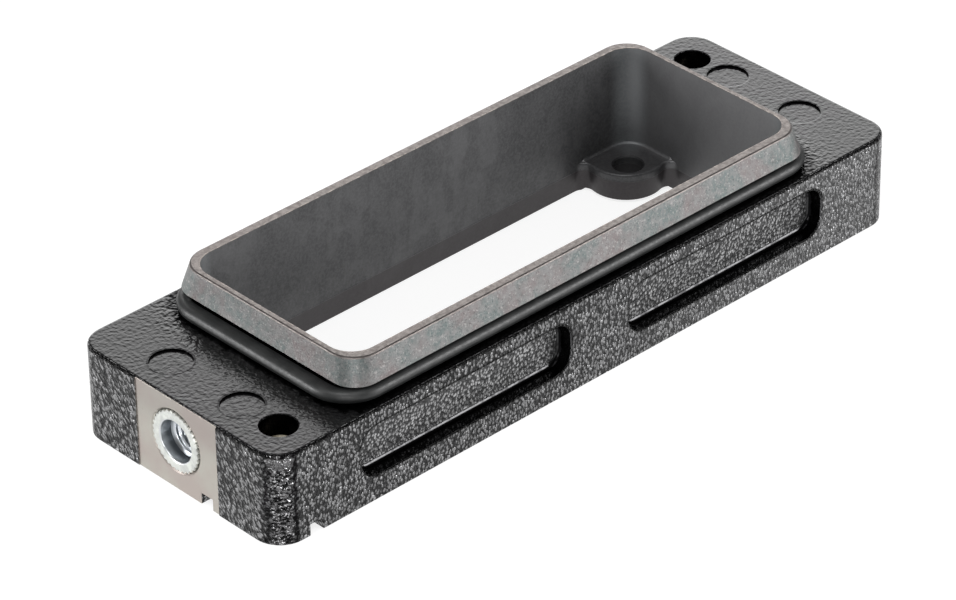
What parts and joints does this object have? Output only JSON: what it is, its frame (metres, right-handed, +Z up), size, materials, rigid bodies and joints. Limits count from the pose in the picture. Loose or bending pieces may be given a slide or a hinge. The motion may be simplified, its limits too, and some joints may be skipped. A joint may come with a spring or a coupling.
{
  "type": "heavy duty rectangular connector",
  "caption": "Low rectangular metal connector housing with a bare collar, a ring seal, recessed sides and a threaded earth bush in one end.",
  "frame": {"origin": "centre of the mounting face, which is the underside of the flange", "axes": "+X along the long side, away from the end with the earth bush; +Z up along the collar, the way a mating hood comes off; +Y across the width"},
  "size_m": [0.1268, 0.0434, 0.0222],
  "materials": {
    "cast_body": "gloss",
    "seal": "satin",
    "plated_steel": "satin"
  },
  "bodies": {
    "root": {"housing": "cast_body", "collar_seal": "seal", "earth_bush": "plated_steel", "screw_insert_near": "plated_steel", "screw_insert_far": "plated_steel"}
  },
  "joints": []
}
